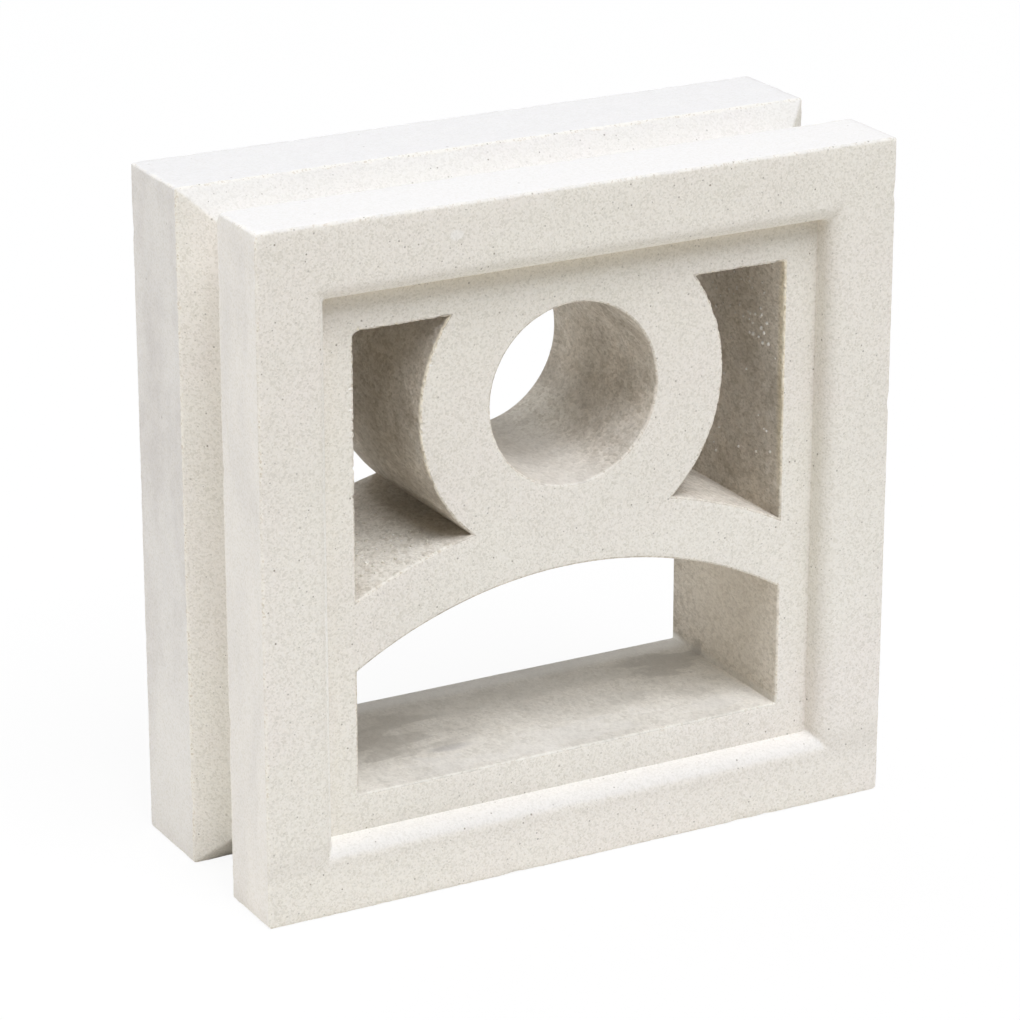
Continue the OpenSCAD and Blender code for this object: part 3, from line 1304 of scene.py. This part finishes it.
# %% Stained walls of the openings
DRY_WALL = linear(231, 223, 211)
DAMP_WALL = linear(199, 190, 177)
SMEAR = linear(205, 198, 186)
SMEAR_SHARE = 0.5
STREAK_TURN = math.radians(25)
STREAK_STRETCH = (0.4, 1.0, 0.6)
BLOTCH = linear(238, 233, 224)
BLOTCH_SHARE = 0.4
PULL_STRETCH = (1.0, 0.65, 1.0)
COARSE_PER_METRE = 900.0
COARSE_SHADE = linear(229, 226, 221)
WALL_PAINTED_LIGHT_AND_TONES = [
    ((68.0, -8.0, 55.0), (3.0, 40.0, 44.0), linear(248, 240, 226), 0.7),
    # Painted shade on the ring's side in the left opening
    ((-42.0, -4.0, 140.0), (14.0, 40.0, 40.0), linear(200, 190, 173), 0.5),
    # Painted light low in the round hole
    ((14.0, 14.0, 115.0), (16.0, 24.0, 12.0), linear(250, 246, 237), 0.9),
    # Painted light on the front of the arch top in the left opening
    ((-54.0, -22.0, 96.0), (28.0, 38.0, 12.0), linear(240, 236, 226), 0.75),
    # Painted shade in the crease where the arch meets the ring
    ((-35.0, -4.0, 100.5), (10.0, 40.0, 3.0), linear(124, 112, 92), 0.25),
    ((68.0, -8.0, 150.0), (3.0, 44.0, 24.0), linear(240, 232, 219), 0.5),
    ((68.0, -32.0, 140.0), (3.0, 3.5, 60.0), linear(240, 226, 190), 0.5),
]
FLOOR_PAINTED_LIGHT_AND_TONES = [
    # Painted light: the floor of the lower opening paler and more neutral
    ((0.0, -4.0, 31.5), (400.0, 200.0, 3.0), linear(231, 230, 222), 0.35),
    # Painted light on the bottom of the round hole
    ((0.0, -6.0, 111.0), (26.0, 80.0, 7.0), linear(236, 232, 224), 0.4),
    ((-31.0, -15.4, 31.5), (9.0, 3.0, 3.0), linear(160, 155, 152), 0.5),
    # Painted shade across the middle of the lower floor, under the arch
    ((0.0, 11.0, 31.5), (300.0, 8.0, 3.0), linear(190, 184, 172), 0.35),
    # A pale band along the back of the lower floor
    ((0.0, 24.5, 31.5), (300.0, 8.0, 3.0), linear(248, 246, 240), 0.6),
    ((68.0, -8.0, 52.0), (3.0, 40.0, 34.0), linear(236, 227, 212), 0.4),
]
FLOOR_SMEARS = [
    ((-46.0, -2.0, 31.5), (24.0, 16.0, 3.0), linear(172, 166, 155), 0.45),
    ((56.0, 9.0, 31.5), (18.0, 8.0, 5.0), linear(164, 158, 148), 0.45),
    ((4.0, -23.0, 31.5), (60.0, 8.0, 3.0), linear(228, 225, 219), 0.3),
]


def stained_concrete():
    """Finish of the walls of the openings."""
    material, tree, shader, where = start_material("stained_concrete", roughness=0.8)
    streaks = add_node(tree, "ShaderNodeMapping")
    feed(tree, where, streaks.inputs["Vector"])
    streaks.inputs["Rotation"].default_value = (0.0, 0.0, STREAK_TURN)
    streaks.inputs["Scale"].default_value = STREAK_STRETCH
    pulled = stretched(tree, where, PULL_STRETCH)
    damp = clouds(tree, where, 34.0, Bend=0.8)
    smear = clouds(tree, streaks.outputs[0], 150.0)
    blotch = clouds(tree, pulled, 190.0)
    colour = mix(tree, damp, DRY_WALL, DAMP_WALL)
    colour = laid_over(tree, colour, SMEAR, smear, SMEAR_SHARE)
    colour = laid_over(tree, colour, BLOTCH, blotch, BLOTCH_SHARE)
    colour = marked(tree, where, colour, EVEN, WALL_PAINTED_LIGHT_AND_TONES)
    coarse = place_group(tree, sand_group, Coordinates=pulled, Grains_per_metre=COARSE_PER_METRE)
    colour = mix(tree, coarse["Shade"], colour, tinted(tree, colour, COARSE_SHADE))
    colour, _ = grained(tree, pulled, colour, darkest=228, upward_light_share=0.12)
    colour = pored(tree, pulled, colour, strength=0.4, cells=480.0, size=0.2, share=0.5)
    colour = marked(tree, where, colour, EVEN, FLOOR_PAINTED_LIGHT_AND_TONES)
    colour = marked(tree, where, colour, smear, FLOOR_SMEARS)
    feed(tree, colour, shader.inputs["Base Color"])
    bump(tree, shader, coarse["Height"], depth=0.16 * MM)
    return material


stained = stained_concrete()
print("made", stained.name, "with", len(stained.node_tree.nodes), "nodes")

# %% [markdown]
# The finished skin takes the place of the solid in the picture. The solid stays
# hidden in the frame, where it still does its work for collision.

# %% Dress the block
for finish in (sandy, moulded, stained):
    block.data.materials.append(finish)
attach(block, "root")
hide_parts("vent_block")
for finish in (moulded, stained):
    beads.data.materials.append(finish)
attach(beads, "root")
print("block has", len(block.data.materials), "finishes")

# %% [markdown]
# The block stands on a sheet of white paper. A lit sheet would turn grey towards
# its edges, so the paper is drawn almost white for the camera, and the small rest
# of its own shader keeps a soft shadow under the block.

# %% White paper
PAPER_SIZE = 8.0
PAPER_COLOUR = (0.91, 0.89, 0.85, 1.0)
PAPER_WHITE = 0.93


def seen_rays(tree):
    """1 for rays that come from the camera, also by a mirror or through glass."""
    rays = add_node(tree, "ShaderNodeLightPath")
    seen = calculate(tree, "MAXIMUM", rays.outputs["Is Camera Ray"], rays.outputs["Is Glossy Ray"])
    return calculate(tree, "MAXIMUM", seen, rays.outputs["Is Transmission Ray"])


def paper_finish():
    """A dull pale paper that shows white to the camera and still takes the shadow."""
    material = bpy.data.materials.new("white_paper")
    material.use_nodes = True
    tree = material.node_tree
    shader = tree.nodes["Principled BSDF"]
    shader.inputs["Base Color"].default_value = PAPER_COLOUR
    shader.inputs["Roughness"].default_value = 1.0
    glow = add_node(tree, "ShaderNodeEmission")
    blend = add_node(tree, "ShaderNodeMixShader")
    feed(tree, calculate(tree, "MULTIPLY", seen_rays(tree), PAPER_WHITE), blend.inputs[0])
    feed(tree, shader.outputs[0], blend.inputs[1])
    feed(tree, glow.outputs[0], blend.inputs[2])
    feed(tree, blend.outputs[0], tree.nodes["Material Output"].inputs["Surface"])
    return material


def white_paper():
    """A square floor under the block."""
    half = PAPER_SIZE / 2
    corners = [(-half, -half, 0), (half, -half, 0), (half, half, 0), (-half, half, 0)]
    mesh = bpy.data.meshes.new("paper")
    mesh.from_pydata(corners, [], [(0, 1, 2, 3)])
    mesh.materials.append(paper_finish())
    paper = bpy.data.objects.new("paper", mesh)
    scene.collection.objects.link(paper)
    return paper


paper = white_paper()
print("paper is", PAPER_SIZE, "metres wide")

# %% [markdown]
# Six broad lamps give the soft shadows inside the openings. Most of the light comes
# from above and in front, and weaker lamps stand at the left, at the right and
# behind. A bright sky would light every wall alike, so the sky is only seen as
# white and gives no light.

# %% Soft light
LAMP_SIZE = 4.5
LAMP_AIM = Vector((0.0, 0.0, 0.1))
COOL_SIDE = (0.99, 1.0, 1.03)
COOL = (0.975, 0.998, 1.065)
COOLER = (0.95, 0.99, 1.07)
# Name, place in metres, power in watts and tint
LAMPS = [
    ("key_lamp", (0.0, -4.2, 7.4), 532.0, COOL),
    ("right_lamp", (4.5, -4.5, 6.25), 90.0, COOL),
    ("front_overhead_lamp", (0.0, -2.4, 8.2), 165.0, COOLER),
    ("back_overhead_lamp", (0.0, 4.5, 7.5), 180.0, COOLER),
    ("left_lamp", (-8.5, 1.0, 2.0), 245.0, COOL_SIDE),
    ("back_left_lamp", (-6.0, 5.0, 4.0), 66.0, COOL_SIDE),
]


def soft_lamp(name, place, power, tint):
    """A square lamp that faces the middle of the block."""
    lamp = bpy.data.lights.new(name, "AREA")
    lamp.shape = "SQUARE"
    lamp.size = LAMP_SIZE
    lamp.energy = power
    lamp.color = tint
    made = bpy.data.objects.new(name, lamp)
    made.location = place
    made.rotation_euler = (LAMP_AIM - Vector(place)).to_track_quat("-Z", "Y").to_euler()
    scene.collection.objects.link(made)
    return made


def white_sky():
    """A sky that is seen as white and gives no light."""
    world = bpy.data.worlds.new("studio")
    world.use_nodes = True
    tree = world.node_tree
    sky = tree.nodes["Background"]
    sky.inputs["Color"].default_value = (1, 1, 1, 1)
    feed(tree, seen_rays(tree), sky.inputs["Strength"])
    scene.world = world


white_sky()
lamps = [soft_lamp(*row) for row in LAMPS]
scene.view_settings.view_transform = "Standard"
print("lamps:", [lamp.name for lamp in lamps])
